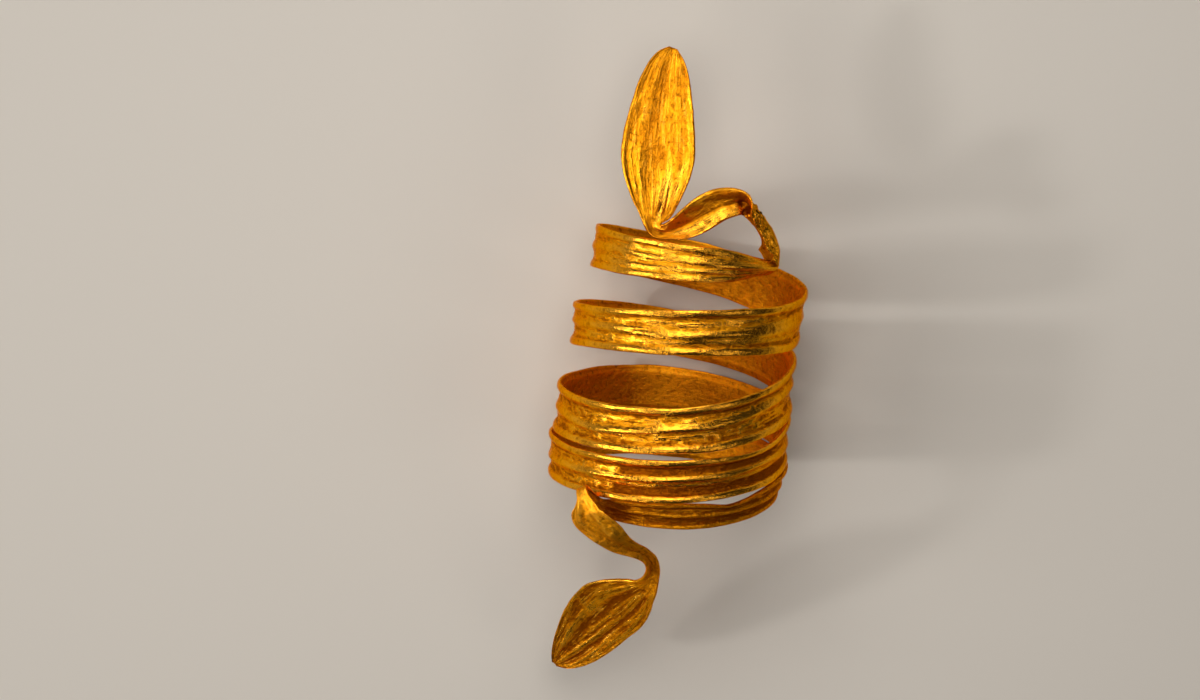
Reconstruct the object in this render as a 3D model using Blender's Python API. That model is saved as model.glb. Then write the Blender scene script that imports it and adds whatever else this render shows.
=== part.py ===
"""A spiral finger ring made from one long strip of hammered gold.

The strip is coiled round the finger four and a third times. At each end it narrows, folds back on
itself, runs a short way as a creased stem and widens into a flat leaf with veins. It is a single
piece, so it is built as a single solid. The ring lies on its side, as it does when it is loose.

Working units are millimetres and the finished mesh is in metres. The coil's axis runs along Y, with
the upper leaf at +Y. X points to the right and Z points up, away from the surface it lies on.
"""

import math

import bmesh
import bpy
from mathutils import Vector

MM = 0.001

# Driving dimensions in millimetres
BORE_DIAMETER = 18.9
STRIP_WIDTH = 3.9
SHEET_THICKNESS = 0.34
UPPER_SHEET_THICKNESS = 0.27
LEAF_THICKNESS = 0.28
RIB_HEIGHT = 0.22
FLAT_SPOT_DEPTH = 0.3
WORN_DEPTH = 0.03
STEM_WIDTH = 3.3
LEAF_LENGTH = 14.25
LEAF_WIDTH = 6.15
LOWER_LEAF_LENGTH = 14.6
LOWER_LEAF_WIDTH = 6.0
VEIN_DEPTH = 0.16

# The coil runs from its upper end to its lower end through these angles. An angle of 0 is at the
# right, 90 at the front (top, as it lies), 180 at the left and 270 at the back, on the surface.
COIL_START = 31.0
COIL_END = 1558.0
COIL_STEP = 12.0
QUARTER = 90.0

# Over its first degrees the coil opens out from the folded stem, which starts at this share of the
# stem's width, and over its last degrees its ribs fade
OPENING_OUT = 54.0
STEM_START_SHARE = 0.65
FADING_OUT = 45.0

# How far the middle of the first turn drops below its front, at the right, front, left, back and
# right, as shares of the strip's width
FIRST_TURN_DROP = (0.15, 0.0, 0.09, 0.67, 1.24)

# The clear gap that is open below each turn, at its front, left, back and right, as shares of the
# strip's width
OPEN_GAPS = (
    (0.52, 0.77, 0.58, 0.38),
    (1.1, 0.85, 0.27, 0.13),
    (0.11, 0.04, 0.1, 0.025),
    (0.015, 0.025, 0.08, 0.08),
)

# The hand-bent coil at each quarter turn from the right of the first turn: how much wider than the
# bore its inner face is and the width of the strip, both as shares, and how far, in degrees, its
# lower edge leans in
SWELL = (
    -0.106, -0.138, -0.212, -0.095,
    0.016, 0.011, -0.085, 0.0,
    -0.026, 0.011, 0.0, 0.0,
    -0.032, 0.021, 0.026, 0.0,
    -0.053, -0.053, 0.053,
)
WIDTH_SHARE = (
    0.70, 0.76, 0.92, 1.05,
    1.12, 0.96, 0.90, 1.0,
    1.12, 0.98, 1.03, 1.0,
    1.02, 0.93, 0.92, 0.92,
    0.72, 0.58, 0.2,
)
LEAN = (
    -2, -4, -4, -2,
    6, 2, 0, 0,
    0, -2, -2, 0,
    0, 2, 3, 0,
    16, 14, 0,
)

# Places where the hammered strip's upper edge dips: the angle, the spread in degrees, and the depth
# as a share of the strip's width
EDGE_DIPS = ((1122.0, 22.0, 0.1), (1495.0, 15.0, 0.17))

# The ribs grow between these angles, from the flatter upper turns to the lower ones, and the middle
# rib wanders
RIB_SHARE_UPPER = 0.55
RIB_SHARE_LOWER = 1.0
GROWTH_START = 270.0
GROWTH_END = 720.0
FADE_AT_END = 0.5
RIB_WANDER = 0.12
RIB_WANDERS_PER_TURN = 0.8

# How sharply, in degrees, each half of the strip is folded back along the creased stem and the leaf,
# and how near the crease its inner faces come to each other
STEM_FOLD = 60.0
LEAF_FOLD = 6.0
CREASE_CLEARANCE = 0.02

# Samples across the strip from one edge (-1) to the other (1), with the height of the ribs there
OUTER_SAMPLES = (-1.0, -0.82, -0.6, -0.42, -0.25, -0.09, 0.09, 0.25, 0.42, 0.6, 0.82, 1.0)
OUTER_RIBS = (1.0, 1.0, 0.35, 0.0, 0.25, 0.75, 0.75, 0.25, 0.0, 0.35, 1.0, 1.0)
INNER_SAMPLES = (1.0, 0.7, 0.4, 0.15, -0.15, -0.4, -0.7, -1.0)

# The veins of a leaf: their places across it and their width, as shares of its half width, and the
# shares of its length at which they are full and start to fade
VEINS = (-0.72, -0.13, 0.68)
VEIN_SPREAD = 0.13
VEINS_FULL = 0.35
VEINS_FADE = 0.85

# The outline of a leaf: where it is widest, as a share of its length, how much of its width it loses
# towards the tip, and the power of that taper
UPPER_LEAF_OUTLINE = (0.42, 0.6, 1.5)
LOWER_LEAF_OUTLINE = (0.36, 0.69, 2.1)
LEAF_TIP_ROUNDING = 12
LEAF_TIP_SHARE = 0.3
LEAF_BOW = 0.5
LEAF_RINGS = 15
RING_CROWDING = 0.5

# The tip of the upper leaf leans to the right by this length, from about the last quarter on
UPPER_TIP_LEAN = 0.55
TIP_LEAN_POWER = 8

# The lower leaf is fuller on its outer side by this share of its half width, over this share of its
# length
LOWER_LEAF_SKEW = 0.18
SKEW_SPAN = 0.75

# The hand-placed bends of each stem, from the end of the coil to the base of its leaf. A row holds
# the place measured from the end of the coil, the way across the strip, how far the strip reaches on
# its upper and its lower side, and its fold in degrees. Lengths are shares of half the stem's width.
UPPER_BENDS = (
    ((0.04, 0.18, -0.18), (0.0, 0.5, 0.9), 0.55, 0.75, STEM_FOLD),
    ((0.06, 0.48, -0.33), (0.0, 0.1, 1.0), 0.58, 1.05, STEM_FOLD),
    ((0.02, 0.88, -0.36), (0.0, 0.0, 1.0), 0.76, 1.33, STEM_FOLD),
    ((-0.15, 1.3, -0.3), (0.0, 0.0, 1.0), 0.9, 1.0, STEM_FOLD),
    ((-0.45, 1.85, -0.21), (0.0, 0.05, 1.0), 0.84, 0.9, STEM_FOLD),
    ((-0.94, 2.45, -0.12), (0.05, 0.15, 1.0), 0.84, 0.85, 56),
    ((-1.48, 2.97, -0.03), (0.1, 0.5, 0.85), 0.88, 0.8, 46),
    ((-2.09, 3.15, 0.06), (-0.15, 0.85, 0.4), 0.9, 0.7, 26),
    ((-3.03, 2.82, 0.12), (-0.42, 0.9, 0.0), 0.97, 0.7, 14),
    ((-4.0, 2.24, 0.12), (-0.48, 0.88, 0.0), 1.0, 0.8, 18),
    ((-4.88, 1.7, 0.06), (-0.45, 0.9, 0.0), 0.78, 0.74, 28),
    ((-5.58, 1.36, -0.03), (0.0, 1.0, 0.0), 0.5, 0.43, 28),
    ((-6.06, 1.36, -0.12), (0.7, 0.7, 0.0), 0.5, 0.42, 24),
    ((-6.3, 1.73, -0.21), (1.0, 0.0, 0.0), 0.73, 0.52, 18),
)
LOWER_BENDS = (
    ((-0.73, 0.17, 0.03), (0.0, 1.0, 0.0), 0.35, 0.38, 0),
    ((-1.24, 0.58, 0.21), (0.2, 1.0, 0.1), 0.28, 0.32, 0),
    ((-1.67, 1.03, 0.48), (0.5, 0.5, 0.7), 0.33, 0.33, 0),
    ((-1.58, 0.64, 0.76), (1.0, 0.3, 0.2), 0.33, 0.33, 8),
    ((-1.42, 0.24, 0.85), (1.0, 0.2, 0.2), 0.56, 0.64, 12),
    ((-1.27, -0.21, 0.88), (0.95, 0.35, 0.3), 0.82, 0.85, 10),
    ((-0.82, -0.79, 0.82), (0.8, 0.6, 0.3), 1.02, 0.73, 8),
    ((-0.27, -1.3, 0.7), (0.65, 0.75, 0.25), 1.03, 0.56, 8),
    ((0.33, -1.7, 0.45), (0.5, 0.85, 0.2), 0.8, 0.45, 12),
    ((0.94, -1.94, 0.15), (0.4, 0.9, 0.1), 0.52, 0.38, 18),
    ((1.52, -2.18, -0.21), (0.45, 0.9, 0.1), 0.42, 0.38, 24),
    ((1.94, -2.58, -0.64), (0.8, 0.6, 0.1), 0.4, 0.37, 26),
    ((2.12, -3.12, -1.06), (1.0, 0.1, 0.0), 0.4, 0.37, 24),
    ((2.09, -3.7, -1.42), (0.97, -0.25, 0.0), 0.45, 0.45, 18),
    ((1.88, -4.3, -1.85), (0.78, -0.62, 0.0), 0.7, 0.7, 12),
)

# The way that each leaf points from its base
UPPER_LEAF_WAY = (0.0, 1.0, -0.1)
LOWER_LEAF_WAY = (-0.49, -0.65, -0.59)

RINGS_PER_BEND = 2
SHARP_ANGLE = 40.0

GOLD_COLOUR = (0.83, 0.42, 0.05, 1.0)
GOLD_ROUGHNESS = 0.34


class Station:
    """One place along the strip: its middle, the way across it, and the shape of its section."""

    def __init__(self, place, across, upper, lower, fold=0.0, sheet=LEAF_THICKNESS, ribs=0.0, veins=0.0):
        self.place = Vector(place)
        self.across = Vector(across).normalized()
        self.shape = (upper, lower, fold, sheet, ribs, veins)


def through(values, position):
    """Read a smooth curve that passes through evenly spaced values."""
    last = len(values) - 1
    low = max(0, min(last - 1, int(math.floor(position))))
    t = position - low
    before = values[max(0, low - 1)]
    start = values[low]
    end = values[low + 1]
    after = values[min(last, low + 2)]
    slope_start = (end - before) * 0.5
    slope_end = (after - start) * 0.5
    t2 = t * t
    t3 = t2 * t
    return (start * (2 * t3 - 3 * t2 + 1) + slope_start * (t3 - 2 * t2 + t)
            + end * (3 * t2 - 2 * t3) + slope_end * (t3 - t2))


def smooth_step(low, high, value):
    """Rise smoothly from 0 at low to 1 at high."""
    t = max(0.0, min(1.0, (value - low) / (high - low)))
    return t * t * (3 - 2 * t)


def coil_widths():
    """Width of the strip at each quarter turn."""
    return [STRIP_WIDTH * share for share in WIDTH_SHARE]


def coil_heights():
    """Height of the strip's middle at each quarter turn, each turn stacked below the last."""
    widths = coil_widths()
    heights = [-STRIP_WIDTH * drop for drop in FIRST_TURN_DROP]
    gaps = [STRIP_WIDTH * gap for turn in OPEN_GAPS for gap in turn]
    while len(heights) < len(widths):
        here = len(heights)
        above = here - 4
        gap = gaps[min(above - 1, len(gaps) - 1)]
        heights.append(heights[above] - widths[above] / 2 - gap - widths[here] / 2)
    return heights


def surface_level():
    """Height of the surface that the coil lies on, measured from the coil's axis."""
    return -(BORE_DIAMETER / 2 + SHEET_THICKNESS + RIB_HEIGHT - FLAT_SPOT_DEPTH)


def coil_stations():
    """The coiled part of the strip, lying on its flat spots."""
    widths = coil_widths()
    heights = coil_heights()
    steps = round((COIL_END - COIL_START) / COIL_STEP)
    stations = []
    for step in range(steps + 1):
        angle = COIL_START + (COIL_END - COIL_START) * step / steps
        quarter = angle / QUARTER
        turn = math.radians(angle)
        outward = Vector((math.cos(turn), 0.0, math.sin(turn)))
        lean = math.radians(through(LEAN, quarter))
        growth = smooth_step(GROWTH_START, GROWTH_END, angle)
        ribs = RIB_SHARE_UPPER + (RIB_SHARE_LOWER - RIB_SHARE_UPPER) * growth
        sheet = UPPER_SHEET_THICKNESS + (SHEET_THICKNESS - UPPER_SHEET_THICKNESS) * growth
        radius = BORE_DIAMETER / 2 * (1 + through(SWELL, quarter)) + sheet / 2
        place = outward * radius + Vector((0.0, through(heights, quarter), 0.0))
        place.z = max(place.z, surface_level() + sheet / 2 + RIB_HEIGHT * ribs - WORN_DEPTH)
        across = Vector((0.0, math.cos(lean), 0.0)) + outward * math.sin(lean)
        closing = 1.0 - smooth_step(COIL_START, COIL_START + OPENING_OUT, angle)
        half = through(widths, quarter) / 2
        half = half + (STEM_WIDTH / 2 * STEM_START_SHARE - half) * closing
        dip = sum(depth * math.exp(-((angle - at) / spread) ** 2) for at, spread, depth in EDGE_DIPS)
        half_upper = half - STRIP_WIDTH * dip
        fading = FADE_AT_END * smooth_step(COIL_END - FADING_OUT, COIL_END, angle)
        ribs = ribs * (1.0 - closing) * (1.0 - fading)
        stations.append(Station(place, across, half_upper, half, STEM_FOLD * closing, sheet, ribs))
    return stations


def leaf_half_width(along, widest, base, outline):
    """Half width of a leaf, from its base (0) to its blunt tip (1)."""
    widest_at, taper, power = outline
    if along < widest_at:
        return base + (widest - base) * math.sin(math.pi / 2 * along / widest_at)
    t = (along - widest_at) / (1 - widest_at)
    rounding = math.sqrt(max(0.0, 1 - t ** LEAF_TIP_ROUNDING))
    return widest * (1 - taper * t ** power) * max(LEAF_TIP_SHARE, rounding)


def leaf_stations(base, direction, size, outline, bow, lean=0.0, skew=0.0):
    """A flat leaf that grows from its base station, slightly bowed along it.

    Its tip may lean to one side, and one of its sides may be fuller. The rings crowd together
    towards the tip.
    """
    direction = Vector(direction).normalized()
    across = base.across
    face = across.cross(direction).normalized()
    length, width = size
    stations = []
    for ring in range(1, LEAF_RINGS + 1):
        even = ring / LEAF_RINGS
        along = even + (math.sin(math.pi / 2 * even) - even) * RING_CROWDING
        place = base.place + direction * (length * along) + face * (bow * math.sin(math.pi * along))
        place += across * (lean * along ** TIP_LEAN_POWER)
        veins = smooth_step(0.0, VEINS_FULL, along) * (1 - smooth_step(VEINS_FADE, 1.0, along))
        fuller = skew * math.sin(math.pi * along / SKEW_SPAN)
        upper = leaf_half_width(along, width / 2, base.shape[0], outline) * (1 - fuller)
        lower = leaf_half_width(along, width / 2, base.shape[1], outline) * (1 + fuller)
        stations.append(Station(place, across, upper, lower, LEAF_FOLD, veins=veins))
    return stations


def along_bends(bends):
    """Fill in stations between hand-placed bends."""
    places = [bend.place for bend in bends]
    acrosses = [bend.across for bend in bends]
    shapes = list(zip(*[bend.shape for bend in bends]))
    filled = []
    count = (len(bends) - 1) * RINGS_PER_BEND
    for step in range(count + 1):
        position = step / RINGS_PER_BEND
        shape = [through(values, position) for values in shapes]
        filled.append(Station(through(places, position), through(acrosses, position), *shape))
    return filled


def bend_stations(root, bends):
    """The stations at the bends of one stem."""
    unit = STEM_WIDTH / 2
    stations = []
    for place, across, upper, lower, fold in bends:
        stations.append(Station(root + Vector(place) * unit, across, upper * unit, lower * unit, fold))
    return stations


def upper_terminal(start):
    """The upper leaf, its fold, and the stem down to the start of the coil, in that order."""
    stem = bend_stations(start, UPPER_BENDS)
    size = (LEAF_LENGTH, LEAF_WIDTH)
    leaf = leaf_stations(stem[-1], UPPER_LEAF_WAY, size, UPPER_LEAF_OUTLINE, -LEAF_BOW, lean=UPPER_TIP_LEAN)
    return leaf[::-1] + along_bends(stem)[::-1]


def lower_terminal(end):
    """The fold at the coil's lower end, the stem that bends back, and the lower leaf."""
    stem = bend_stations(end, LOWER_BENDS)
    size = (LOWER_LEAF_LENGTH, LOWER_LEAF_WIDTH)
    leaf = leaf_stations(stem[-1], LOWER_LEAF_WAY, size, LOWER_LEAF_OUTLINE, LEAF_BOW, skew=LOWER_LEAF_SKEW)
    return along_bends(stem) + leaf


def vein_depth(across):
    """Depth of a leaf's veins at a place across it, from 0 to about 1."""
    return sum(math.exp(-((across - vein) / VEIN_SPREAD) ** 2) for vein in VEINS)


def section(station, forward, wander):
    """The closed outline of the strip at one station, the ribbed face first."""
    upper, lower, fold, sheet, ribs, veins = station.shape
    fold = math.radians(fold)
    across = (station.across - forward * station.across.dot(forward)).normalized()
    face = across.cross(forward)
    outline = []
    sides = (
        (OUTER_SAMPLES, OUTER_RIBS, sheet / 2),
        (INNER_SAMPLES, (0.0,) * len(INNER_SAMPLES), -sheet / 2),
    )
    for samples, rib_shape, offset in sides:
        for sample, rib in zip(samples, rib_shape):
            drift = wander * ribs * (1 - abs(sample)) ** 2
            reach = (sample + drift) * (upper if sample > 0 else lower)
            side = 1.0 if sample > 0 else -1.0
            lift = offset + RIB_HEIGHT * rib * ribs + VEIN_DEPTH * veins * vein_depth(sample)
            along_face = reach * math.cos(fold) + side * lift * math.sin(fold)
            if offset < 0:
                along_face = side * max(side * along_face, CREASE_CLEARANCE)
            out = -abs(reach) * math.sin(fold) + lift * math.cos(fold)
            point = station.place + across * along_face + face * out
            point.z = max(point.z, surface_level())
            outline.append(point)
    return outline


def strip_mesh(stations):
    """One closed mesh through all the stations, capped at both tips."""
    mesh = bmesh.new()
    rings = []
    for index, station in enumerate(stations):
        before = stations[max(0, index - 1)].place
        after = stations[min(len(stations) - 1, index + 1)].place
        forward = (after - before).normalized()
        wander = RIB_WANDER * math.sin(index * COIL_STEP / 360.0 * 2 * math.pi * RIB_WANDERS_PER_TURN)
        outline = section(station, forward, wander)
        rings.append([mesh.verts.new(point) for point in outline])
    for ring, following in zip(rings, rings[1:]):
        for index in range(len(ring)):
            beside = (index + 1) % len(ring)
            mesh.faces.new((ring[index], ring[beside], following[beside], following[index]))
    for ring in (rings[0], rings[-1]):
        centre = sum((vert.co for vert in ring), Vector()) / len(ring)
        middle = mesh.verts.new(centre)
        for index in range(len(ring)):
            mesh.faces.new((ring[index], ring[(index + 1) % len(ring)], middle))
    bmesh.ops.recalc_face_normals(mesh, faces=mesh.faces)
    return mesh


def stand_on_origin(mesh):
    """Move the mesh so that the origin is below its middle, on the surface that it lies on."""
    lows = [min(vert.co[axis] for vert in mesh.verts) for axis in range(3)]
    highs = [max(vert.co[axis] for vert in mesh.verts) for axis in range(3)]
    origin = Vector(((lows[0] + highs[0]) / 2, (lows[1] + highs[1]) / 2, lows[2]))
    for vert in mesh.verts:
        vert.co = (vert.co - origin) * MM


def gold_material():
    """Plain gold, with the colour and gloss of the whole ring."""
    material = bpy.data.materials.new("hammered_gold")
    material.use_nodes = True
    shader = material.node_tree.nodes["Principled BSDF"]
    shader.inputs["Base Color"].default_value = GOLD_COLOUR
    shader.inputs["Metallic"].default_value = 1.0
    shader.inputs["Roughness"].default_value = GOLD_ROUGHNESS
    return material


def build_ring():
    """Build the ring as one object."""
    coil = coil_stations()
    upper = upper_terminal(coil[0].place)
    lower = lower_terminal(coil[-1].place)
    mesh = strip_mesh(upper + coil + lower)
    stand_on_origin(mesh)
    data = bpy.data.meshes.new("spiral_ring")
    mesh.to_mesh(data)
    mesh.free()
    data.shade_smooth()
    data.set_sharp_from_angle(angle=math.radians(SHARP_ANGLE))
    ring = bpy.data.objects.new("spiral_ring", data)
    ring.data.materials.append(gold_material())
    bpy.context.scene.collection.objects.link(ring)


def clear_scene():
    """Remove whatever the scene holds."""
    for item in list(bpy.data.objects):
        bpy.data.objects.remove(item, do_unlink=True)


clear_scene()
build_ring()
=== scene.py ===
# %% [markdown]
# # A spiral finger ring of hammered gold
#
# The ring is one long strip of thin gold sheet. It is coiled round the finger, and at each end it
# folds back on itself, runs on as a creased stem and widens into a flat, veined leaf. This notebook
# makes the visible surface of that strip: its ribs, its hammer marks, its crumpled folds and the
# warm gold itself. The measured solid is loaded first, and the surface is laid over it.

import math

import bpy
import numpy as np
from mathutils import Matrix, Vector


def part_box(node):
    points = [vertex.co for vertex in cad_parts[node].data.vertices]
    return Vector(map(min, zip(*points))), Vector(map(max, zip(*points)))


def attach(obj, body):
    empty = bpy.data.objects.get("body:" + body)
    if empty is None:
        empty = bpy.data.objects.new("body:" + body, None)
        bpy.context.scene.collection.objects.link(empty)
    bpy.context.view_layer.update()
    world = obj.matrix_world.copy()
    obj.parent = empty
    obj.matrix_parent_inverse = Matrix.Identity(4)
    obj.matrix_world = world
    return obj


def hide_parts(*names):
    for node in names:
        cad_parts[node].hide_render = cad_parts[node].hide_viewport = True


MM = 0.001

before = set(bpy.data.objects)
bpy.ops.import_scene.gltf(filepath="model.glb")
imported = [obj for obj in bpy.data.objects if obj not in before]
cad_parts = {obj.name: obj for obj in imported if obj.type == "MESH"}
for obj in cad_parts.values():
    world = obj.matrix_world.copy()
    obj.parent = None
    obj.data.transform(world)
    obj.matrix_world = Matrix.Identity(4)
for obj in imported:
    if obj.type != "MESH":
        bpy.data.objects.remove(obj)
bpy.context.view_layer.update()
ring_low, ring_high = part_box("spiral_ring")
print("nodes:", sorted(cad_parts))
print("ring, mm:", [round(side / MM, 2) for side in ring_high - ring_low])

# %% [markdown]
# ## Where things are
#
# The ring lies on its side. The axis of its coil runs along Y, the upper leaf points to +Y, and Z
# points up from the table. All the shapes below are worked out in millimetres, measured from the
# point on the coil's axis that is level with the front of the first turn. That point has this place
# in the loaded solid.

# %% The point that all shapes are measured from
COIL_ORIGIN = Vector((0.072, 10.357, 9.71))
print("coil's axis above the table, mm:", COIL_ORIGIN.z)

# %% [markdown]
# ## The camera
#
# The ring is seen from above, from a little towards the upper leaf, and it lies slightly turned. A
# camera could be pointed by hand, but here its place is worked out: a long lens, a known distance,
# and the picture point at which the middle of the coil should appear.

# %% Point the camera
PICTURE_WIDTH = 1200
PICTURE_HEIGHT = 700
AIM_PIXEL = (675, 405)
AIM_BELOW_FIRST_TURN = 13.28
CAMERA_TILT = math.radians(10.4)
CAMERA_ROLL = math.radians(4.4)
CAMERA_DISTANCE = 278.0
LENS = 100.0
SENSOR = 36.0


def place_camera():
    """Put the camera where the aim point shows at its pixel."""
    back = Vector((0.0, math.sin(CAMERA_TILT), math.cos(CAMERA_TILT)))
    up = Vector((0.0, math.cos(CAMERA_TILT), -math.sin(CAMERA_TILT)))
    side = Vector((1.0, 0.0, 0.0))
    right = side * math.cos(CAMERA_ROLL) + up * math.sin(CAMERA_ROLL)
    top = up * math.cos(CAMERA_ROLL) - side * math.sin(CAMERA_ROLL)
    pixel = CAMERA_DISTANCE * SENSOR / LENS / PICTURE_WIDTH
    aim = COIL_ORIGIN - Vector((0.0, AIM_BELOW_FIRST_TURN, 0.0))
    across = (AIM_PIXEL[0] - PICTURE_WIDTH / 2) * pixel
    down = (AIM_PIXEL[1] - PICTURE_HEIGHT / 2) * pixel
    place = aim + back * CAMERA_DISTANCE - right * across + top * down
    data = bpy.data.cameras.new("camera")
    data.lens = LENS
    data.sensor_width = SENSOR
    data.clip_start = MM
    camera = bpy.data.objects.new("camera", data)
    bpy.context.scene.collection.objects.link(camera)
    turned = Matrix((right, top, back)).transposed().to_4x4()
    camera.matrix_world = Matrix.Translation(place * MM) @ turned
    bpy.context.scene.camera = camera
    return camera


camera = place_camera()
print("camera, mm:", [round(value / MM, 1) for value in camera.location])

# %% [markdown]
# ## The table and the light
#
# Gold has no colour of its own in the dark: it shows what is round it. A broad lamp low on the left
# lights the left half of each turn, and a small strong one beside its middle gives the hot spots on
# the ribs. One high above lights the middle of the turns, a small one close over the upper leaf fills
# it, and one beyond the leaf draws a bright line along the rims. A warmer one on the right keeps the
# far side readable, and one in front finds the lower stem. The room stays dim, so grooves go brown.

# %% Lay the table
TABLE_SIDE = 4.0
TABLE_COLOUR = (0.64, 0.60, 0.55, 1.0)
TABLE_ROUGHNESS = 0.75


def lay_table():
    """A plain pale table under the ring."""
    data = bpy.data.meshes.new("table")
    half = TABLE_SIDE / 2
    corners = [(-half, -half, 0.0), (half, -half, 0.0), (half, half, 0.0), (-half, half, 0.0)]
    data.from_pydata(corners, [], [(0, 1, 2, 3)])
    paint = bpy.data.materials.new("table_paint")
    paint.use_nodes = True
    shader = paint.node_tree.nodes["Principled BSDF"]
    shader.inputs["Base Color"].default_value = TABLE_COLOUR
    shader.inputs["Roughness"].default_value = TABLE_ROUGHNESS
    data.materials.append(paint)
    table = bpy.data.objects.new("table", data)
    bpy.context.scene.collection.objects.link(table)


lay_table()
print("table side, m:", TABLE_SIDE)

# %% Hang the lamps
ROOM_GREY = (0.5, 0.46, 0.42, 1.0)
ROOM_STRENGTH = 0.06
WARM = (1.0, 0.96, 0.9)
NEARLY_WHITE = (1.0, 0.98, 0.95)

# The name of each lamp, its direction from the ring, distance and side in metres, brightness, colour.
LAMPS = (
    ("broad_lamp", (-0.80, -0.05, 0.60), 0.6, 0.34, 3.5, (1.0, 0.97, 0.92)),
    ("spot_lamp", (-0.83, -0.14, 0.54), 0.55, 0.045, 85.0, NEARLY_WHITE),
    ("right_lamp", (0.68, -0.15, 0.72), 0.6, 0.2, 2.0, (1.0, 0.93, 0.84)),
    ("far_lamp", (-0.1, 1.0, 0.55), 0.7, 0.45, 3.0, NEARLY_WHITE),
    ("top_lamp", (-0.32, 0.08, 0.95), 0.7, 0.26, 1.3, WARM),
    ("leaf_lamp", (-0.03, 0.34, 1.0), 0.13, 0.05, 5.4, WARM),
    ("front_lamp", (-0.33, -0.68, 0.66), 0.6, 0.1, 9.5, WARM),
)


def hang_lamp(name, towards, distance, side, brightness, colour):
    """A square soft lamp in a direction from the ring, turned to face it. Its power follows its size."""
    data = bpy.data.lights.new(name, "AREA")
    data.shape = "SQUARE"
    data.size = side
    data.energy = brightness * math.pi * side ** 2
    data.color = colour
    lamp = bpy.data.objects.new(name, data)
    bpy.context.scene.collection.objects.link(lamp)
    direction = Vector(towards).normalized()
    lamp.rotation_euler = direction.to_track_quat("Z", "Y").to_euler()
    lamp.location = direction * distance


def light_room():
    """The grey of the room."""
    world = bpy.data.worlds.new("room")
    world.use_nodes = True
    background = world.node_tree.nodes["Background"]
    background.inputs["Color"].default_value = ROOM_GREY
    background.inputs["Strength"].default_value = ROOM_STRENGTH
    bpy.context.scene.world = world


light_room()
for lamp in LAMPS:
    hang_lamp(*lamp)
bpy.context.scene.view_settings.view_transform = "Standard"

# %% [markdown]
# ## The strip, step by step
#
# A strip like this could be made from a curve with a bevel, but a bevel keeps one section all the
# way. Here the width, the fold and the ribs change along it. So the strip is described by stations:
# places along it, each with the direction across the strip and the shape of its section there. A
# smooth curve is then read through the stations.

# %% A station, and a smooth reading of values
LEAF_THICKNESS = 0.28

# Where a station's row holds its share of coil, its angle on the coil and the leaf that it is on.
ON_COIL = 11
ANGLE = 12
WHICH_LEAF = 13


class Station:
    """One place along the strip, the way across it, the shape of its section and where it belongs."""

    def __init__(self, place, across, upper, lower, fold=0.0, sheet=LEAF_THICKNESS, ribs=0.0):
        self.place = Vector(place)
        self.across = Vector(across).normalized()
        self.shape = (upper, lower, fold, sheet, ribs)
        self.on = (0.0, 0.0, 0.0, 0.0)

    def row(self):
        """All of it as one row of numbers."""
        return [*self.place, *self.across, *self.shape, *self.on]


def curve_between(before, start, end, after, t):
    """A smooth curve from start to end that takes its slopes from the values beside them."""
    slope_start = (end - before) * 0.5
    slope_end = (after - start) * 0.5
    t2 = t * t
    t3 = t2 * t
    return (start * (2 * t3 - 3 * t2 + 1) + slope_start * (t3 - 2 * t2 + t)
            + end * (3 * t2 - 2 * t3) + slope_end * (t3 - t2))


def through(values, position):
    """Read a smooth curve that passes through evenly spaced values."""
    last = len(values) - 1
    low = max(0, min(last - 1, int(math.floor(position))))
    before = values[max(0, low - 1)]
    after = values[min(last, low + 2)]
    return curve_between(before, values[low], values[low + 1], after, position - low)


def smooth_step(low, high, value):
    """Rise smoothly from 0 at low to 1 at high."""
    t = np.clip((value - low) / (high - low), 0.0, 1.0)
    return t * t * (3 - 2 * t)


print("half way up a smooth step:", float(smooth_step(0.0, 1.0, 0.5)))

# %% [markdown]
# ## The coil
#
# The coil is hand-bent, so no two turns are alike. At each quarter turn there is a value for how far
# it swells from the bore, how wide the strip is, and how much it leans. The height of each turn is
# not typed in: it is stacked under the turn above, with the open gap that shows between them.

# %% The sizes of the strip and its turns
BORE_DIAMETER = 18.9
STRIP_WIDTH = 3.9
SHEET_THICKNESS = 0.34
UPPER_SHEET_THICKNESS = 0.27
RIB_HEIGHT = 0.22
FLAT_SPOT_DEPTH = 0.3
WORN_DEPTH = 0.03
STEM_WIDTH = 3.3
STEM_START_SHARE = 0.65
STEM_FOLD = 60.0
COIL_START = 31.0
COIL_END = 1558.0
COIL_STEP = 12.0
OPENING_OUT = 54.0
FADING_OUT = 45.0
FADE_AT_END = 0.5
QUARTER = 90.0
QUARTERS_PER_TURN = 4
RIB_SHARE_UPPER = 0.55
RIB_SHARE_LOWER = 1.0
GROWTH_SPAN = (270.0, 720.0)
FIRST_TURN_DROP = (0.15, 0.0, 0.09, 0.67, 1.24)
OPEN_GAPS = (
    (0.52, 0.77, 0.58, 0.38),
    (1.1, 0.85, 0.27, 0.13),
    (0.11, 0.04, 0.1, 0.025),
    (0.015, 0.025, 0.08, 0.08),
)
SWELL = (
    -0.106, -0.138, -0.212, -0.095,
    0.016, 0.011, -0.085, 0.0,
    -0.026, 0.011, 0.0, 0.0,
    -0.032, 0.021, 0.026, 0.0,
    -0.053, -0.053, 0.053,
)
WIDTH_SHARE = (
    0.70, 0.76, 0.92, 1.05,
    1.12, 0.96, 0.90, 1.0,
    1.12, 0.98, 1.03, 1.0,
    1.02, 0.93, 0.92, 0.92,
    0.72, 0.58, 0.2,
)
LEAN = (
    -2, -4, -4, -2,
    6, 2, 0, 0,
    0, -2, -2, 0,
    0, 2, 3, 0,
    16, 14, 0,
)
EDGE_DIPS = ((1122.0, 22.0, 0.1), (1495.0, 15.0, 0.17))
print("turns of the coil:", round((COIL_END - COIL_START) / QUARTER / QUARTERS_PER_TURN, 2))


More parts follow.
